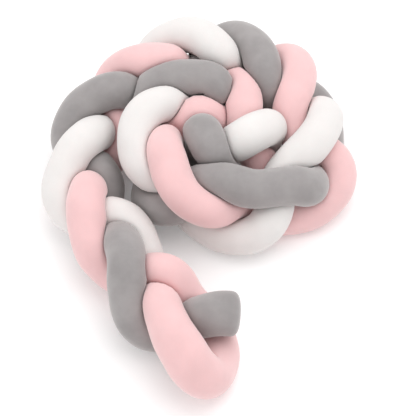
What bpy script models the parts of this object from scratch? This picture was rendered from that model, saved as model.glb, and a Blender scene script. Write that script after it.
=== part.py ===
"""Knot cushion: three stuffed velvet tubes plaited together and coiled.

The plait runs from a short tail in front, clockwise round an outer turn and
in to a small inner turn that rides on the hidden ends.  Each tube is one
filled solid, round where it is free and flat where it is pressed against a
neighbour or the surface below.  Tables are in millimetres and degrees.
"""

import math

import bpy
import numpy as np

MM = 0.001

TUBE = 76.0          # across one stuffed tube
SPREAD = 75.0        # size that the width and lift columns are multiples of
SEAM = 1.0           # clear space kept on each side of a pressed face
CLOSEST = 48.0       # two tubes give way until their middles are this far apart
SINK = 4.0           # how far the whole plait settles into the surface's plane
LOWEST = 31.0        # lowest middle of a tube, so that its underside is flat
SOFT = 7.0           # rounding where a free side turns into a pressed face
BEND = 0.86          # share of a tight bend's radius that the inside may fill
RING = 20.0          # between two rings of corners
SIDES = 16           # corners in a ring
SWING = 0.06         # how much fuller than a cosine the sideways swing is
HURRY = 0.11         # how far a tube runs ahead on its way over
TURN = 120.0         # degrees a tube goes round the plait's middle in a pass
PASS_STEP = 0.12     # passes between two knots of the plait's curve
STEP = 9.0           # between two points of a middle line
EVEN = 2400          # points that a middle line's length is measured with
EASE = 0.5           # knots' spacing as a power of their distance
GIVE_ROUNDS = 60     # rounds of giving way
GIVE = 0.35          # share of the worst overlap given way in a round
ASIDE = 1.3          # tube widths along itself before a tube can press itself
PRESSED_ASIDE = 1.1  # the same for the faces that are pressed flat
BEND_FROM = 0.3      # tube widths along itself from which a bend is tight
RELIEF_ROUNDS = 8    # rounds of drawing flat faces in
RELIEF = 1.1         # how much more than the overlap is drawn in
RELIEF_SEAM = 0.6    # share of the seam kept where faces are drawn in
RELIEF_NEAR = 0.9    # tube widths along itself that count as the same place
RELIEF_FAR = 1.4     # and from which on it counts as a neighbour
THINNEST = 2.0       # least distance of a corner from the middle line
CLOSING_RINGS = (0.02, 0.10, 0.26, 0.52)    # rings of a closing end, as shares
FAR = 1e6
TINY = 1e-6

# The coil: the plait's middle runs clockwise round an oval, then turns inwards.
COIL = (-15.0, 130.0)    # middle of the coil
HALF_WIDE = 235.0        # from there to the plait's middle, left and right
HALF_DEEP = 210.0        # the same to the front and the back

# Where the plait lies: one row a pass, a pass being one crossing.  The tail
# trails outside the oval, which counts as less than nothing inside it.
# pass, bearing, inside the oval, height, lean to the coil's middle, width, lift
LAY = (
    (1, 270, -220, 105, -5, 0.65, 0.60),
    (2, 255, -110, 80, 20, 0.60, 0.55),
    (3, 225, -25, 75, 40, 0.55, 0.40),
    (4, 190, 0, 75, 50, 0.55, 0.40),
    (5, 150, 20, 90, 55, 0.70, 0.45),
    (6, 122, 25, 100, 45, 0.75, 0.55),
    (7, 95, -5, 115, 45, 0.75, 0.60),
    (8, 68, -5, 105, 65, 0.75, 0.60),
    (9, 38, -10, 85, 100, 0.75, 0.50),
    (10, -5, 5, 85, 115, 0.70, 0.42),
    (11, -55, 60, 85, 95, 0.65, 0.40),
    (12, -120, 110, 105, 80, 0.75, 0.45),
    (13, -200, 170, 165, 60, 0.75, 0.50),
)

# The tube ends beyond the regular plait, one row a bend: x, y, height.
TAIL_PINK = (
    (-115, -175, 50),    # hidden end, under the grey tube
    (-90, -215, 105),    # up over it
    (-75, -260, 115),
    (-55, -310, 115),    # along the top
    (-30, -345, 95),
    (0, -350, 60),       # front of the loop, coming down
    (20, -290, 38),      # back along the surface
    (5, -235, 36),       # under the grey end
    (-42, -183, 72),     # rising behind it
    (-78, -150, 107),    # over
    (-145, -135, 70),    # and down under the grey
    (-190, -110, 62),
    (-215, -80, 90),     # into the plait
)
TAIL_WHITE = (
    (-110, -105, 50),    # hidden end
    (-130, -65, 62),
    (-140, -45, 70),
)
TAIL_GREY = (
    (60, -245, 110),     # the square end that shows
    (10, -243, 108),
    (-30, -237, 78),     # down under the pink loop
    (-60, -236, 48),
    (-105, -242, 42),    # on the surface
    (-135, -235, 70),
    (-150, -190, 110),   # up the left side
    (-152, -125, 125),
    (-165, -80, 105),
    (-190, -38, 50),     # down into the plait
)
CORE_PINK = (
    (65, 38, 62),        # from under the grey
    (25, 5, 98),
    (-15, -10, 125),     # up along the front of the inner turn
    (-50, 5, 148),
    (-75, 50, 170),      # over its left side
    (-85, 115, 155),
    (-72, 152, 110),     # down
    (-50, 178, 118),
    (-18, 185, 152),     # over as the inner arc
    (8, 190, 122),
    (20, 240, 92),       # under the grey arc
    (30, 290, 100),
    (60, 270, 136),      # up as the back arc
    (70, 205, 150),
    (80, 160, 120),      # down under the white
    (100, 122, 82),
    (110, 105, 58),      # hidden end
)
CORE_WHITE = (
    (-130, 85, 138),     # up the left side of the inner turn
    (-138, 132, 160),
    (-118, 180, 174),
    (-85, 210, 160),     # over its back
    (-62, 226, 120),
    (-44, 215, 84),      # down
    (10, 187, 78),       # hidden, across under the grey lobe
    (50, 187, 55),
    (90, 190, 52),
    (112, 180, 92),      # up on the right
    (107, 160, 146),
    (82, 126, 172),      # over as the inner arc
    (52, 117, 152),
    (43, 128, 118),      # hidden end
)
CORE_GREY = (
    (173, 36, 130),      # along the front, over the others
    (90, 16, 143),
    (18, 37, 145),
    (-22, 42, 120),      # down under the pink
    (-68, 19, 83),
    (-108, 38, 65),
    (-108, 110, 44),     # hidden, back along the surface
    (-112, 185, 88),
    (-108, 245, 148),    # up as the grey arc
    (-72, 262, 166),
    (-30, 265, 172),
    (14, 255, 168),
    (20, 240, 145),      # down inside the back arc
    (0, 262, 85),
    (-12, 250, 42),
    (-15, 168, 46),      # hidden, forward along the surface
    (-20, 155, 90),
    (-15, 150, 150),     # up as the lobe in the middle
    (-2, 110, 177),
    (20, 88, 138),
    (38, 102, 80),       # hidden end
)

# Where a tube is stuffed fuller: strand, how far from its tail end, reach, share.
FULLER = (
    ("strand_pink", 225, 85, 0.19),
    ("strand_grey", 35, 60, 0.12),
)

# How an end closes: how far the closing runs back, how square it is.
ROUND = (0.85, 2.2)
SQUARE = (0.55, 3.0)

# name, thirds of a pass behind, first and last pass of the plait, tail end,
# inner end, closing of the tail end, closing of the inner end, colour
STRANDS = (
    ("strand_pink", 0, 3.00, 10.80, TAIL_PINK, CORE_PINK, ROUND, ROUND, (0.84, 0.56, 0.56)),
    ("strand_white", 1, 2.86, 12.40, TAIL_WHITE, CORE_WHITE, ROUND, ROUND, (0.86, 0.84, 0.81)),
    ("strand_grey", 2, 3.20, 10.60, TAIL_GREY, CORE_GREY, SQUARE, ROUND, (0.40, 0.385, 0.375)),
)


def unit(rows):
    """Each row at length one."""
    return rows / np.linalg.norm(rows, axis=-1, keepdims=True)


def curve(knots, values, at):
    """A natural cubic through the values at the knots, and its slope."""
    n = len(knots)
    step = np.diff(knots)
    system = np.eye(n)
    right = np.zeros((n, values.shape[1]))
    rise = np.diff(values, axis=0) / step[:, None]
    for i in range(1, n - 1):
        system[i, i - 1] = step[i - 1]
        system[i, i] = 2 * (step[i - 1] + step[i])
        system[i, i + 1] = step[i]
        right[i] = 6 * (rise[i] - rise[i - 1])
    bent = np.linalg.solve(system, right)
    i = np.clip(np.searchsorted(knots, at) - 1, 0, n - 2)
    u = (at - knots[i])[:, None]
    h = step[i][:, None]
    b0 = bent[i]
    b1 = bent[i + 1]
    first = rise[i] - h * (2 * b0 + b1) / 6
    place = values[i] + u * (first + u * (b0 / 2 + u * (b1 - b0) / (6 * h)))
    slope = first + u * (b0 + u * (b1 - b0) / (2 * h))
    return place, slope


def plait(thirds, passes):
    """The middle line of one tube within the regular plait."""
    lay = np.array(LAY, dtype=float)
    bearing = np.radians(lay[:, 1])
    lay_x = COIL[0] + (HALF_WIDE - lay[:, 2]) * np.cos(bearing)
    lay_y = COIL[1] + (HALF_DEEP - lay[:, 2]) * np.sin(bearing)
    route = np.column_stack([lay_x, lay_y, lay[:, 3:]])
    turn = np.radians(TURN * (passes - thirds))
    ahead = passes + HURRY * np.sin(2 * turn)
    row, slope = curve(lay[:, 0], route, ahead)
    along = unit(slope[:, :3])
    left = unit(np.column_stack([-along[:, 1], along[:, 0], 0 * ahead]))
    up = np.cross(along, left)
    lean = np.radians(row[:, 3:4])
    out = np.cos(lean) * left + np.sin(lean) * up
    over = np.cos(lean) * up - np.sin(lean) * left
    side = row[:, 4] * SPREAD * (np.cos(turn) + SWING * np.cos(3 * turn))
    lift = row[:, 5] * SPREAD * np.sin(2 * turn)
    return row[:, :3] + out * side[:, None] + over * lift[:, None]


def evenly(points, step):
    """The same line with its points an even step apart."""
    knots = np.concatenate([[0], np.cumsum(np.linalg.norm(np.diff(points, axis=0), axis=1) ** EASE)])
    fine = curve(knots, points, np.linspace(0, knots[-1], EVEN))[0]
    run = np.concatenate([[0], np.cumsum(np.linalg.norm(np.diff(fine, axis=0), axis=1))])
    marks = np.linspace(0, run[-1], int(round(run[-1] / step)) + 1)
    return np.column_stack([np.interp(marks, run, fine[:, i]) for i in range(3)])


def smooth(line, rounds):
    """Each point drawn to the middle of its neighbours."""
    for _ in range(rounds):
        line = line.copy()
        line[1:-1] = (line[:-2] + 2 * line[1:-1] + line[2:]) / 4
    return line


def middle_lines(step):
    """The middle lines of the three tubes, before they give way."""
    lines = []
    for _, thirds, first, last, tail, core, _, _, _ in STRANDS:
        passes = np.arange(first, last, PASS_STEP)
        knots = np.vstack([tail, plait(thirds, passes), core])
        lines.append(evenly(knots - (0, 0, SINK), step))
    return lines


def tally(lines, step):
    """All points, the tube each belongs to and how far along it lies."""
    points = np.concatenate(lines)
    owner = np.repeat(np.arange(len(lines)), [len(line) for line in lines])
    run = np.concatenate([np.arange(len(line)) * step for line in lines])
    return points, owner, run


def settle(lines, step, rounds=GIVE_ROUNDS):
    """Tubes that are too near each other give way, a little at a time."""
    for _ in range(rounds):
        points, owner, run = tally(lines, step)
        apart = points[:, None] - points[None]
        far = np.linalg.norm(apart, axis=2) + TINY
        other = (owner[:, None] != owner[None]) | (np.abs(run[:, None] - run[None]) > ASIDE * TUBE)
        short = np.where(other, np.clip(CLOSEST - far, 0, None), 0)
        worst = short.max(axis=1)
        push = (apart / far[..., None] * short[..., None]).sum(axis=1)
        size = np.linalg.norm(push, axis=1) + TINY
        push = push / size[:, None] * (GIVE * worst)[:, None]
        for i in range(len(lines)):
            mine = smooth(push[owner == i], 4)
            lines[i] = lines[i] + mine
            lines[i][:, 2] = np.maximum(lines[i][:, 2], LOWEST)
    return [evenly(smooth(line, 3), step) for line in lines]


def soft_least(a, b):
    """The lesser of two sizes, rounded where they are alike."""
    near = np.clip(SOFT - np.abs(a - b), 0, None) / SOFT
    return np.minimum(a, b) - near ** 2 * SOFT / 4


def frames(line):
    """Along, across and up for each point, turning as little as it can."""
    along = unit(np.gradient(line, axis=0))
    across = [unit(np.cross(along[0], (0.0, 0.0, 1.0)))]
    for way in along[1:]:
        last = across[-1]
        across.append(unit(last - way * (last @ way)))
    across = np.array(across)
    return along, across, np.cross(along, across)


def nearest(places, points):
    """How far each place is from the nearest of the points."""
    square = (places ** 2).sum(axis=1)[:, None] + (points ** 2).sum(axis=1)[None]
    return np.sqrt(np.maximum((square - 2 * places @ points.T).min(axis=1), 0))


def between(corners):
    """Places half-way between neighbouring corners, and how they are reached."""
    after = np.roll(corners, -1, axis=1)
    yield (corners + after) / 2, ((0, 0), (0, 1))
    yield (corners[:-1] + corners[1:]) / 2, ((0, 0), (1, 0))
    yield (corners[:-1] + after[1:]) / 2, ((0, 0), (1, 1))
    yield (after[:-1] + corners[1:]) / 2, ((0, 1), (1, 0))


def relieve(middle, way, reach, places, index, field):
    """Flat faces that would cut through a neighbour are drawn in."""
    points, owner, run = field
    count, sides = reach.shape
    for _ in range(RELIEF_ROUNDS):
        corners = middle[:, None] + way * reach[..., None]
        draw = np.zeros_like(reach)
        for spots, ends in between(corners):
            for first in range(0, len(spots), 8):
                group = spots[first:first + 8]
                here = places[first:first + len(group)]
                away = np.abs(run[None] - here[:, None])
                mine = (owner == index) & (away.min(axis=0) < RELIEF_NEAR * TUBE)
                flat = group.reshape(-1, 3)
                strangers = (owner != index) | (away.min(axis=0) > RELIEF_FAR * TUBE)
                over = (nearest(flat, points[mine]) - nearest(flat, points[strangers])) / 2
                over = np.clip(over + RELIEF_SEAM * SEAM, 0, None).reshape(len(group), -1)
                for ring, side in ends:
                    rows = slice(first + ring, first + ring + len(group))
                    shifted = np.roll(over, side, axis=1)
                    draw[rows] = np.maximum(draw[rows], shifted)
        reach = np.maximum(reach - RELIEF * draw, THINNEST)
    return reach


def girth(name, places):
    """Half the width of a free tube at each place."""
    half = np.full(len(places), TUBE / 2)
    for strand, middle, reach, share in FULLER:
        if strand == name:
            half *= 1 + share * np.exp(-((places - middle) / reach) ** 2)
    return half


def rings(line, index, step, field, closings, sides, spacing):
    """Rings of corners of one tube, pressed by its neighbours and the floor."""
    points, owner, run = field
    length = (len(line) - 1) * step
    places = []
    shares = []
    for (back, square), mirrored in zip(closings, (False, True)):
        reach = back * TUBE / 2
        for part in CLOSING_RINGS:
            at = part * reach
            places.append(length - at if mirrored else at)
            shares.append((1 - (1 - part) ** square) ** (1 / square))
    body = length - (closings[0][0] + closings[1][0]) * TUBE / 2
    count = int(round(body / spacing))
    for i in range(count + 1):
        places.append(closings[0][0] * TUBE / 2 + body * i / count)
        shares.append(1.0)
    order = np.argsort(places)
    places = np.array(places)[order]
    shares = np.array(shares)[order]
    marks = np.arange(len(line)) * step
    _, across, up = frames(line)

    def at(rows):
        return np.column_stack([np.interp(places, marks, rows[:, i]) for i in range(3)])

    middle = at(line)
    across = unit(at(across))[:, None]
    up = unit(at(up))[:, None]
    turn = (np.arange(sides) * 2 * math.pi / sides)[None, :, None]
    way = np.cos(turn) * across + np.sin(turn) * up
    reach = np.empty(way.shape[:2])
    free = girth(STRANDS[index][0], places)
    for k in range(len(places)):
        rel = points - middle[k]
        toward = way[k] @ rel.T
        half = (rel ** 2).sum(axis=1)[None] / (2 * np.maximum(toward, TINY))
        half = np.where(toward > TINY, half, FAR)
        beyond = np.abs(run - places[k])
        own = owner == index
        stranger = ~own | (beyond > PRESSED_ASIDE * TUBE)
        bend = own & (beyond > BEND_FROM * TUBE) & ~stranger
        pressed = (half[:, stranger] - SEAM).min(axis=1)
        inside = (half[:, bend] * BEND).min(axis=1)
        reach[k] = soft_least(soft_least(np.full(sides, free[k]), pressed), inside) * shares[k]
    down = np.where(way[..., 2] < -TINY, middle[:, 2:] / np.maximum(-way[..., 2], TINY), FAR)
    reach = np.minimum(relieve(middle, way, reach, places, index, field), down)
    return middle[:, None] + way * reach[..., None], line[0], line[-1]


def skin(rows, first, last):
    """Corners and faces of a closed tube."""
    count, sides, _ = rows.shape
    corners = [tuple(first)] + [tuple(p) for p in rows.reshape(-1, 3)] + [tuple(last)]
    faces = []
    for j in range(sides):
        n = (j + 1) % sides
        faces.append((0, 1 + n, 1 + j))
        for i in range(count - 1):
            a = 1 + i * sides
            faces.append((a + j, a + n, a + sides + n, a + sides + j))
        end = 1 + (count - 1) * sides
        faces.append((end + j, end + n, len(corners) - 1))
    return corners, faces


def cloth(name, colour):
    """Short velvet, dull and without metal."""
    material = bpy.data.materials.new(name)
    material.use_nodes = True
    shader = material.node_tree.nodes["Principled BSDF"]
    shader.inputs["Base Color"].default_value = (*colour, 1.0)
    shader.inputs["Roughness"].default_value = 0.9
    shader.inputs["Metallic"].default_value = 0.0
    return material


def build():
    for thing in list(bpy.data.objects):
        bpy.data.objects.remove(thing, do_unlink=True)
    lines = settle(middle_lines(STEP), STEP)
    steps = [np.linalg.norm(np.diff(line, axis=0), axis=1).mean() for line in lines]
    points = np.concatenate(lines)
    owner = np.repeat(np.arange(len(lines)), [len(line) for line in lines])
    run = np.concatenate([np.arange(len(line)) * s for line, s in zip(lines, steps)])
    shells = []
    for i, row in enumerate(STRANDS):
        made = rings(lines[i], i, steps[i], (points, owner, run), row[6:8], SIDES, RING)
        shells.append(skin(*made))
    every = np.concatenate([np.array(corners) for corners, _ in shells])
    low = every.min(axis=0)
    high = every.max(axis=0)
    centre = np.array([(low[0] + high[0]) / 2, (low[1] + high[1]) / 2, low[2]])
    for (corners, faces), row in zip(shells, STRANDS):
        mesh = bpy.data.meshes.new(row[0])
        mesh.from_pydata([tuple((np.array(p) - centre) * MM) for p in corners], [], faces)
        mesh.validate()
        mesh.polygons.foreach_set("use_smooth", [True] * len(mesh.polygons))
        mesh.materials.append(cloth("velvet_" + row[0].split("_")[1], row[8]))
        thing = bpy.data.objects.new(row[0], mesh)
        bpy.context.scene.collection.objects.link(thing)


build()
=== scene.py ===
"""Looks of the knot cushion: three stuffed velvet tubes on a pale floor."""

import math
from collections import namedtuple

import bpy
import numpy as np
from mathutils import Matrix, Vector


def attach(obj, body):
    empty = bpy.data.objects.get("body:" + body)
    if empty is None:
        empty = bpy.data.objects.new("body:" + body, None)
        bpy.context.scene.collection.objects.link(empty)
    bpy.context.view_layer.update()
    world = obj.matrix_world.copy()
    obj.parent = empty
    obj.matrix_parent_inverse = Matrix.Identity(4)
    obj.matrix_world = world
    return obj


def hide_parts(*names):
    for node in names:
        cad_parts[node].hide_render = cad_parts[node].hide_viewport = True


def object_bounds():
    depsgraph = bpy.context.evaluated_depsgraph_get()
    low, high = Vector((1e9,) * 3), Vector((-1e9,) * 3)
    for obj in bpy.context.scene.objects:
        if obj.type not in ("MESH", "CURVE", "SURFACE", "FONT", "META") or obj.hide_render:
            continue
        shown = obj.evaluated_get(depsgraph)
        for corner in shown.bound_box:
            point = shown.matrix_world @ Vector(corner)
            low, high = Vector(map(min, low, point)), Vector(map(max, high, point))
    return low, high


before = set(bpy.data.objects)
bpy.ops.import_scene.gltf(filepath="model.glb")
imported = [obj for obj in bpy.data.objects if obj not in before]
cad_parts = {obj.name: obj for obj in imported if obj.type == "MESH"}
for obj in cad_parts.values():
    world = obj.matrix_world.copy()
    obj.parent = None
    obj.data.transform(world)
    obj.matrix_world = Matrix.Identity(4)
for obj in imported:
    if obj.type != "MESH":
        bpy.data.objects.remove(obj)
cad_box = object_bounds()

MM = 0.001

TUBE = 76.0          # across one stuffed tube
SPREAD = 75.0        # size that the width and lift columns are multiples of
SEAM = 0.5           # clear space kept on each side of a pressed face
CLOSEST = 48.0       # two tubes give way until their middles are this far apart
SINK = 4.0           # how far the whole plait settles into the surface's plane
LOWEST = 31.0        # lowest middle of a tube, so that its underside is flat
SOFT = 8.0           # rounding where a free side turns into a pressed face
BEND = 0.86          # share of a tight bend's radius that the inside may fill
STEP = 9.0           # between two points of a middle line
RING = 6.0           # between two rings of corners
SIDES = 48           # corners in a ring
SWING = 0.06         # how much fuller than a cosine the sideways swing is
HURRY = 0.11         # how far a tube runs ahead on its way over
TURN = 120.0         # degrees a tube goes round the plait's middle in a pass
PASS_STEP = 0.12     # passes between two knots of the plait's curve
EVEN = 2400          # points that a middle line's length is measured with
EASE = 0.5           # knots' spacing as a power of their distance
PUSH_ROUNDS = 4      # rounds that smooth the way a tube gives
LINE_ROUNDS = 3      # rounds that smooth a middle line that has given way
GIVE_ROUNDS = 60     # rounds of giving way
GIVE = 0.35          # share of the worst overlap given way in a round
ASIDE = 1.3          # tube widths along itself before a tube can press itself
PRESSED_ASIDE = 1.1  # the same for the faces that are pressed flat
BEND_FROM = 0.3      # tube widths along itself from which a bend is tight
FAR = 1e6            # farther than any neighbour
TINY = 1e-6          # less than any distance here

# Where the rings of a closed end lie, as shares of the closing.
CLOSING_RINGS = (0.004, 0.02, 0.05, 0.10, 0.17, 0.26, 0.38, 0.52, 0.68, 0.84)

# Uneven filling: how long a swell is, how often it goes round, how high it is.
SWELLS = (
    (210.0, 1, 0.8),
    (130.0, 2, 0.6),
    (83.0, 1, 0.4),
    (57.0, 3, 0.25),
)
SWELL_SHIFT = 1.7    # radians from one tube's swells to the next tube's

# The coil: the plait's middle runs clockwise round an oval, then turns inwards.
COIL = (-15.0, 130.0)    # middle of the coil
HALF_WIDE = 235.0        # from there to the plait's middle, left and right
HALF_DEEP = 210.0        # the same to the front and the back

# Where the plait lies: one row a pass, a pass being one crossing.  The tail
# trails outside the oval, which counts as less than nothing inside it.
# pass, bearing, inside the oval, height, lean to the coil's middle, width, lift
LAY = (
    (1, 270, -220, 105, -5, 0.65, 0.60),
    (2, 255, -110, 80, 20, 0.60, 0.55),
    (3, 225, -25, 75, 40, 0.55, 0.40),
    (4, 190, 0, 75, 50, 0.55, 0.40),
    (5, 150, 20, 90, 55, 0.70, 0.45),
    (6, 122, 25, 100, 45, 0.75, 0.55),
    (7, 95, -5, 115, 45, 0.75, 0.60),
    (8, 68, -5, 105, 65, 0.75, 0.60),
    (9, 38, -10, 85, 100, 0.75, 0.50),
    (10, -5, 5, 85, 115, 0.70, 0.42),
    (11, -55, 60, 85, 95, 0.65, 0.40),
    (12, -120, 110, 105, 80, 0.75, 0.45),
    (13, -200, 170, 165, 60, 0.75, 0.50),
)

# The tube ends beyond the regular plait, one row a bend: x, y, height.
TAIL_PINK = (
    (-115, -175, 50),    # hidden end, under the grey tube
    (-90, -215, 105),    # up over it
    (-75, -260, 115),
    (-55, -310, 115),    # along the top
    (-30, -345, 95),
    (0, -350, 60),       # front of the loop, coming down
    (20, -290, 38),      # back along the surface
    (5, -235, 36),       # under the grey end
    (-42, -183, 72),     # rising behind it
    (-78, -150, 107),    # over
    (-145, -135, 70),    # and down under the grey
    (-190, -110, 62),
    (-215, -80, 90),     # into the plait
)
TAIL_WHITE = (
    (-110, -105, 50),    # hidden end
    (-130, -65, 62),
    (-140, -45, 70),
)
TAIL_GREY = (
    (60, -245, 110),     # the square end that shows
    (10, -243, 108),
    (-30, -237, 78),     # down under the pink loop
    (-60, -236, 48),
    (-105, -242, 42),    # on the surface
    (-135, -235, 70),
    (-150, -190, 110),   # up the left side
    (-152, -125, 125),
    (-165, -80, 105),
    (-190, -38, 50),     # down into the plait
)
CORE_PINK = (
    (65, 38, 62),        # from under the grey
    (25, 5, 98),
    (-15, -10, 125),     # up along the front of the inner turn
    (-50, 5, 148),
    (-75, 50, 170),      # over its left side
    (-85, 115, 155),
    (-72, 152, 110),     # down
    (-50, 178, 118),
    (-18, 185, 152),     # over as the inner arc
    (8, 190, 122),
    (20, 240, 92),       # under the grey arc
    (30, 290, 100),
    (60, 270, 136),      # up as the back arc
    (70, 205, 150),
    (80, 160, 120),      # down under the white
    (100, 122, 82),
    (110, 105, 58),      # hidden end
)
CORE_WHITE = (
    (-130, 85, 138),     # up the left side of the inner turn
    (-138, 132, 160),
    (-118, 180, 174),
    (-85, 210, 160),     # over its back
    (-62, 226, 120),
    (-44, 215, 84),      # down
    (10, 187, 78),       # hidden, across under the grey lobe
    (50, 187, 55),
    (90, 190, 52),
    (112, 180, 92),      # up on the right
    (107, 160, 146),
    (82, 126, 172),      # over as the inner arc
    (52, 117, 152),
    (43, 128, 118),      # hidden end
)
CORE_GREY = (
    (173, 36, 130),      # along the front, over the others
    (90, 16, 143),
    (18, 37, 145),
    (-22, 42, 120),      # down under the pink
    (-68, 19, 83),
    (-108, 38, 65),
    (-108, 110, 44),     # hidden, back along the surface
    (-112, 185, 88),
    (-108, 245, 148),    # up as the grey arc
    (-72, 262, 166),
    (-30, 265, 172),
    (14, 255, 168),
    (20, 240, 145),      # down inside the back arc
    (0, 262, 85),
    (-12, 250, 42),
    (-15, 168, 46),      # hidden, forward along the surface
    (-20, 155, 90),
    (-15, 150, 150),     # up as the lobe in the middle
    (-2, 110, 177),
    (20, 88, 138),
    (38, 102, 80),       # hidden end
)

# Where a tube is stuffed fuller: strand, how far from its tail end, reach, share.
FULLER = (
    ("strand_pink", 225, 85, 0.19),
    ("strand_grey", 35, 60, 0.12),
)

# How an end closes: how far the closing runs back, how square it is.
ROUND = (0.85, 2.2)
SQUARE = (0.55, 3.0)

# Thirds of a pass behind the pink one, first and last pass of the regular plait,
# and how the two ends run and close.
Strand = namedtuple("Strand", (
    "name", "node", "slot", "thirds", "first", "last", "tail", "core", "tail_end", "core_end",
))
STRANDS = (
    Strand("tube_pink", "strand_pink", "velvet_pink", 0, 3.00, 10.80,
           TAIL_PINK, CORE_PINK, ROUND, ROUND),
    Strand("tube_white", "strand_white", "velvet_white", 1, 2.86, 12.40,
           TAIL_WHITE, CORE_WHITE, ROUND, ROUND),
    Strand("tube_grey", "strand_grey", "velvet_grey", 2, 3.20, 10.60,
           TAIL_GREY, CORE_GREY, SQUARE, ROUND),
)

# The velvets: colour, how much brushing shows, sheen.
VELVETS = {
    "velvet_pink": ((0.83, 0.545, 0.547), 0.03, 0.45),
    "velvet_white": ((0.785, 0.755, 0.74), 0.02, 0.15),
    "velvet_grey": ((0.33, 0.31, 0.308), 0.09, 0.55),
}
PILE = {
    "Roughness": 0.95,
    "Specular IOR Level": 0.2,
    "Subsurface Weight": 0.25,
    "Subsurface Scale": 0.012,
    "Subsurface Radius": (1.0, 0.8, 0.8),
    "Sheen Roughness": 0.45,
    "Sheen Tint": (1.0, 0.97, 0.96, 1.0),
}
BRUSHING = (22.0, 3.0, 0.55)     # scale, detail and roughness of the brushed patches
BRUSHED = (0.32, 0.68)           # where the patches start and are full
GRAIN = (1400.0, 2.0, 0.6)       # the same three for the fine grain of the pile
GRAIN_SHARE = 0.10               # how much the grain darkens
GRAIN_BUMP = 0.25                # how strongly it stands out
GRAIN_DEPTH = 0.0004             # metres

FLOOR_HALF = 6.0                 # metres from the middle to each side
FLOOR_COLOUR = (0.93, 0.93, 0.93)
FLOOR_ROUGHNESS = 0.8
FLOOR_GLOW = 0.10                # light of its own, so that shadows stay faint

# The lamps: place and size in metres, power in watts.  Both point at AIM.
LAMPS = (
    ("key", (0.5, 0.6, 2.7), 3.0, 40.0),
    ("fill", (-2.4, -1.2, 1.8), 2.0, 8.0),
)
AIM = (0.0, 0.0, 0.0)
WORLD_LIGHT = 0.90
WHITE = (1.0, 1.0, 1.0, 1.0)

CAMERA_HEIGHT_ANGLE = 55.0       # degrees above the floor
CAMERA_DISTANCE = 4.0            # metres
CAMERA_LENS = 180.4              # millimetres
CAMERA_SENSOR = 36.0
CAMERA_TARGET = (0.0, 0.0, 0.1)  # metres, in the tables' own frame


def unit(rows):
    """Each row at length one."""
    return rows / np.linalg.norm(rows, axis=-1, keepdims=True)


def curve(knots, values, at):
    """A natural cubic through the values at the knots, and its slope."""
    n = len(knots)
    step = np.diff(knots)
    system = np.eye(n)
    right = np.zeros((n, values.shape[1]))
    rise = np.diff(values, axis=0) / step[:, None]
    for i in range(1, n - 1):
        system[i, i - 1] = step[i - 1]
        system[i, i] = 2 * (step[i - 1] + step[i])
        system[i, i + 1] = step[i]
        right[i] = 6 * (rise[i] - rise[i - 1])
    bent = np.linalg.solve(system, right)
    i = np.clip(np.searchsorted(knots, at) - 1, 0, n - 2)
    u = (at - knots[i])[:, None]
    h = step[i][:, None]
    b0 = bent[i]
    b1 = bent[i + 1]
    first = rise[i] - h * (2 * b0 + b1) / 6
    place = values[i] + u * (first + u * (b0 / 2 + u * (b1 - b0) / (6 * h)))
    slope = first + u * (b0 + u * (b1 - b0) / (2 * h))
    return place, slope


def plait(thirds, passes):
    """The middle line of one tube within the regular plait."""
    lay = np.array(LAY, dtype=float)
    bearing = np.radians(lay[:, 1])
    lay_x = COIL[0] + (HALF_WIDE - lay[:, 2]) * np.cos(bearing)
    lay_y = COIL[1] + (HALF_DEEP - lay[:, 2]) * np.sin(bearing)
    route = np.column_stack([lay_x, lay_y, lay[:, 3:]])
    turn = np.radians(TURN * (passes - thirds))
    ahead = passes + HURRY * np.sin(2 * turn)
    row, slope = curve(lay[:, 0], route, ahead)
    along = unit(slope[:, :3])
    left = unit(np.column_stack([-along[:, 1], along[:, 0], 0 * ahead]))
    up = np.cross(along, left)
    lean = np.radians(row[:, 3:4])
    out = np.cos(lean) * left + np.sin(lean) * up
    over = np.cos(lean) * up - np.sin(lean) * left
    side = row[:, 4] * SPREAD * (np.cos(turn) + SWING * np.cos(3 * turn))
    lift = row[:, 5] * SPREAD * np.sin(2 * turn)
    return row[:, :3] + out * side[:, None] + over * lift[:, None]


def gaps(points):
    """How far each point lies from the one before it."""
    return np.linalg.norm(np.diff(points, axis=0), axis=1)


def running(sizes):
    """The sum so far, starting from nothing."""
    return np.concatenate([[0], np.cumsum(sizes)])


def evenly(points, step):
    """The same line with its points an even step apart."""
    knots = running(gaps(points) ** EASE)
    fine = curve(knots, points, np.linspace(0, knots[-1], EVEN))[0]
    run = running(gaps(fine))
    marks = np.linspace(0, run[-1], int(round(run[-1] / step)) + 1)
    return np.column_stack([np.interp(marks, run, fine[:, i]) for i in range(3)])


def smooth(line, rounds):
    """Each point drawn to the middle of its neighbours."""
    for _ in range(rounds):
        line = line.copy()
        line[1:-1] = (line[:-2] + 2 * line[1:-1] + line[2:]) / 4
    return line


def middle_lines(step):
    """The middle lines of the three tubes, before they give way."""
    lines = []
    for strand in STRANDS:
        passes = np.arange(strand.first, strand.last, PASS_STEP)
        knots = np.vstack([strand.tail, plait(strand.thirds, passes), strand.core])
        lines.append(evenly(knots - (0, 0, SINK), step))
    return lines


def tally(lines, steps):
    """All points, the tube each belongs to and how far along it lies."""
    points = np.concatenate(lines)
    owner = np.repeat(np.arange(len(lines)), [len(line) for line in lines])
    run = np.concatenate([np.arange(len(line)) * step for line, step in zip(lines, steps)])
    return points, owner, run


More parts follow.
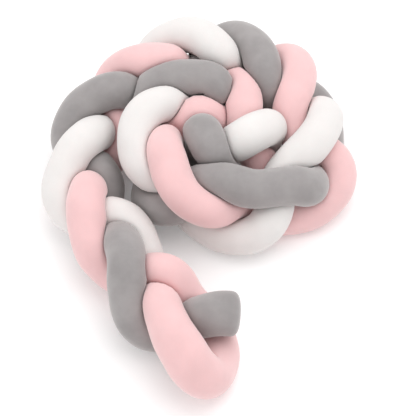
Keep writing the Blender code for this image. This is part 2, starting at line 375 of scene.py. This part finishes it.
def settle(lines, step):
    """Tubes that are too near each other give way, a little at a time."""
    for _ in range(GIVE_ROUNDS):
        points, owner, run = tally(lines, [step] * len(lines))
        apart = points[:, None] - points[None]
        far = np.linalg.norm(apart, axis=2) + TINY
        strange = owner[:, None] != owner[None]
        distant = np.abs(run[:, None] - run[None]) > ASIDE * TUBE
        short = np.where(strange | distant, np.clip(CLOSEST - far, 0, None), 0)
        worst = short.max(axis=1)
        push = (apart / far[..., None] * short[..., None]).sum(axis=1)
        size = np.linalg.norm(push, axis=1) + TINY
        push = push / size[:, None] * (GIVE * worst)[:, None]
        for i in range(len(lines)):
            lines[i] = lines[i] + smooth(push[owner == i], PUSH_ROUNDS)
            lines[i][:, 2] = np.maximum(lines[i][:, 2], LOWEST)
    return [evenly(smooth(line, LINE_ROUNDS), step) for line in lines]


def soft_least(a, b):
    """The lesser of two sizes, rounded where they are alike."""
    near = np.clip(SOFT - np.abs(a - b), 0, None) / SOFT
    return np.minimum(a, b) - near ** 2 * SOFT / 4


def frames(line):
    """Along, across and up for each point, turning as little as it can."""
    along = unit(np.gradient(line, axis=0))
    across = [unit(np.cross(along[0], (0.0, 0.0, 1.0)))]
    for way in along[1:]:
        last = across[-1]
        across.append(unit(last - way * (last @ way)))
    across = np.array(across)
    return along, across, np.cross(along, across)


def fullness(run, turn, seed):
    """Uneven filling: low swells along and round a tube, in millimetres."""
    swell = np.zeros(np.broadcast(run, turn).shape)
    for wave, lobes, size in SWELLS:
        phase = seed * SWELL_SHIFT + wave
        swell = swell + size * np.sin(2 * math.pi * run / wave + lobes * turn + phase)
    return swell


def girth(name, places):
    """Half the width of a free tube at each place."""
    half = np.full(len(places), TUBE / 2)
    for strand, middle, reach, share in FULLER:
        if strand == name:
            half *= 1 + share * np.exp(-((places - middle) / reach) ** 2)
    return half


def ring_places(length, closings):
    """Where a tube's rings lie along it, and the share of its girth at each."""
    places = []
    shares = []
    for (back, square), mirrored in zip(closings, (False, True)):
        reach = back * TUBE / 2
        for part in CLOSING_RINGS:
            at = part * reach
            places.append(length - at if mirrored else at)
            shares.append((1 - (1 - part) ** square) ** (1 / square))
    body = length - (closings[0][0] + closings[1][0]) * TUBE / 2
    count = int(round(body / RING))
    for i in range(count + 1):
        places.append(closings[0][0] * TUBE / 2 + body * i / count)
        shares.append(1.0)
    order = np.argsort(places)
    return np.array(places)[order], np.array(shares)[order]


def rings(index, line, step, field):
    """Rings of corners of one tube, pressed by its neighbours and the floor."""
    strand = STRANDS[index]
    points, owner, run = field
    closings = (strand.tail_end, strand.core_end)
    places, shares = ring_places((len(line) - 1) * step, closings)
    marks = np.arange(len(line)) * step
    _, across, up = frames(line)

    def at(rows):
        return np.column_stack([np.interp(places, marks, rows[:, i]) for i in range(3)])

    middle = at(line)
    across = unit(at(across))[:, None]
    up = unit(at(up))[:, None]
    angle = np.arange(SIDES) * 2 * math.pi / SIDES
    turn = angle[None, :, None]
    way = np.cos(turn) * across + np.sin(turn) * up
    reach = np.empty(way.shape[:2])
    free = girth(strand.node, places)[:, None]
    free = free + fullness(places[:, None], angle[None], index + 1)
    for k in range(len(places)):
        rel = points - middle[k]
        toward = way[k] @ rel.T
        half = (rel ** 2).sum(axis=1)[None] / (2 * np.maximum(toward, TINY))
        half = np.where(toward > TINY, half, FAR)
        beyond = np.abs(run - places[k])
        own = owner == index
        stranger = ~own | (beyond > PRESSED_ASIDE * TUBE)
        bend = own & (beyond > BEND_FROM * TUBE) & ~stranger
        pressed = (half[:, stranger] - SEAM).min(axis=1)
        inside = (half[:, bend] * BEND).min(axis=1)
        reach[k] = soft_least(soft_least(free[k], pressed), inside) * shares[k]
    down = np.where(way[..., 2] < -TINY, middle[:, 2:] / np.maximum(-way[..., 2], TINY), FAR)
    reach = np.minimum(reach, down)
    return middle[:, None] + way * reach[..., None], line[0], line[-1]


def skin(rows, first, last):
    """Corners and faces of a closed tube."""
    count, sides, _ = rows.shape
    corners = [tuple(first)] + [tuple(p) for p in rows.reshape(-1, 3)] + [tuple(last)]
    faces = []
    for j in range(sides):
        n = (j + 1) % sides
        faces.append((0, 1 + n, 1 + j))
        for i in range(count - 1):
            a = 1 + i * sides
            faces.append((a + j, a + n, a + sides + n, a + sides + j))
        end = 1 + (count - 1) * sides
        faces.append((end + j, end + n, len(corners) - 1))
    return corners, faces


def material_called(name):
    """A new material with its own nodes."""
    material = bpy.data.materials.new(name)
    material.use_nodes = True
    return material


def noise(material, place, kind):
    """A noise of the given scale, detail and roughness over the cloth."""
    node = material.node_tree.nodes.new("ShaderNodeTexNoise")
    for socket, value in zip(("Scale", "Detail", "Roughness"), kind):
        node.inputs[socket].default_value = value
    material.node_tree.links.new(place.outputs["Object"], node.inputs["Vector"])
    return node.outputs["Fac"]


def velvet(name, colour, nap, sheen):
    """Short pile: soft sheen, brushed patches and a fine grain."""
    material = material_called(name)
    nodes = material.node_tree.nodes
    links = material.node_tree.links
    shader = nodes["Principled BSDF"]
    for socket, value in PILE.items():
        shader.inputs[socket].default_value = value
    shader.inputs["Sheen Weight"].default_value = sheen
    place = nodes.new("ShaderNodeTexCoord")

    brushed = noise(material, place, BRUSHING)
    ramp = nodes.new("ShaderNodeValToRGB")
    dark, light = ramp.color_ramp.elements
    dark.position, light.position = BRUSHED
    dark.color = (*[c * (1 - nap) for c in colour], 1.0)
    light.color = (*[min(1.0, c * (1 + nap)) for c in colour], 1.0)
    links.new(brushed, ramp.inputs["Fac"])

    grain = noise(material, place, GRAIN)
    speck = nodes.new("ShaderNodeMix")
    speck.data_type = "RGBA"
    speck.blend_type = "MULTIPLY"
    speck.inputs["Factor"].default_value = GRAIN_SHARE
    links.new(ramp.outputs["Color"], speck.inputs[6])
    links.new(grain, speck.inputs[7])
    links.new(speck.outputs[2], shader.inputs["Base Color"])

    bump = nodes.new("ShaderNodeBump")
    bump.inputs["Strength"].default_value = GRAIN_BUMP
    bump.inputs["Distance"].default_value = GRAIN_DEPTH
    links.new(grain, bump.inputs["Height"])
    links.new(bump.outputs["Normal"], shader.inputs["Normal"])
    return material


def middle_and_field():
    """The middle lines, and a finer set of their points to press against."""
    lines = settle(middle_lines(STEP), STEP)
    fine = [evenly(line, STEP / 2) for line in lines]
    steps = [gaps(line).mean() for line in fine]
    return fine, steps, tally(fine, steps)


def add(name, data):
    """A new object in the scene."""
    thing = bpy.data.objects.new(name, data)
    bpy.context.scene.collection.objects.link(thing)
    return thing


def dress():
    """The three velvet tubes, each in the place of its solid."""
    lines, steps, field = middle_and_field()
    shells = [skin(*rings(i, lines[i], steps[i], field)) for i in range(len(STRANDS))]
    every = np.concatenate([np.array(corners) for corners, _ in shells])
    centre = (every.min(axis=0) + every.max(axis=0)) / 2
    centre[2] = every[:, 2].min()
    low, high = cad_box
    place = np.array([(low[0] + high[0]) / 2, (low[1] + high[1]) / 2, low[2]]) / MM
    for (corners, faces), strand in zip(shells, STRANDS):
        placed = [tuple((np.array(corner) - centre + place) * MM) for corner in corners]
        mesh = bpy.data.meshes.new(strand.name)
        mesh.from_pydata(placed, [], faces)
        mesh.validate()
        mesh.polygons.foreach_set("use_smooth", [True] * len(mesh.polygons))
        tube = add(strand.name, mesh)
        mesh.materials.append(velvet(strand.slot + "_look", *VELVETS[strand.slot]))
        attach(tube, "root")
        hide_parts(strand.node)
    return (place - centre) * MM


def stage():
    """A flat pale floor, far wider than the view."""
    corners = [(x * FLOOR_HALF, y * FLOOR_HALF, 0) for x, y in ((-1, -1), (1, -1), (1, 1), (-1, 1))]
    mesh = bpy.data.meshes.new("floor")
    mesh.from_pydata(corners, [], [(0, 1, 2, 3)])
    floor = add("floor", mesh)
    pale = material_called("pale_floor")
    sockets = pale.node_tree.nodes["Principled BSDF"].inputs
    sockets["Base Color"].default_value = (*FLOOR_COLOUR, 1.0)
    sockets["Roughness"].default_value = FLOOR_ROUGHNESS
    sockets["Emission Color"].default_value = WHITE
    sockets["Emission Strength"].default_value = FLOOR_GLOW
    mesh.materials.append(pale)


def aim(thing, target):
    """Turns a lamp or camera towards a point."""
    away = np.array(thing.location) - np.array(target)
    thing.rotation_euler = (
        math.atan2(math.hypot(away[0], away[1]), away[2]),
        0.0,
        math.atan2(away[0], -away[1]),
    )


def lamp(name, place, size, power):
    """A square soft lamp."""
    light = bpy.data.lights.new(name, "AREA")
    light.shape = "SQUARE"
    light.size = size
    light.energy = power
    holder = add(name, light)
    holder.location = place
    aim(holder, AIM)


def studio():
    """Soft light from two lamps and from all round."""
    for row in LAMPS:
        lamp(*row)
    world = bpy.data.worlds.new("studio")
    world.use_nodes = True
    sky = world.node_tree.nodes["Background"].inputs
    sky["Color"].default_value = WHITE
    sky["Strength"].default_value = WORLD_LIGHT
    bpy.context.scene.world = world
    bpy.context.scene.view_settings.view_transform = "Standard"


def camera(shift):
    """A camera at the photograph's viewing angle."""
    eye = bpy.data.cameras.new("camera")
    eye.lens = CAMERA_LENS
    eye.sensor_width = CAMERA_SENSOR
    holder = add("camera", eye)
    rise = math.radians(CAMERA_HEIGHT_ANGLE)
    back = np.array([0.0, -math.cos(rise), math.sin(rise)])
    target = np.array(CAMERA_TARGET) + (shift[0], shift[1], 0.0)
    holder.location = target + CAMERA_DISTANCE * back
    aim(holder, target)
    bpy.context.scene.camera = holder


shift = dress()
stage()
studio()
camera(shift)
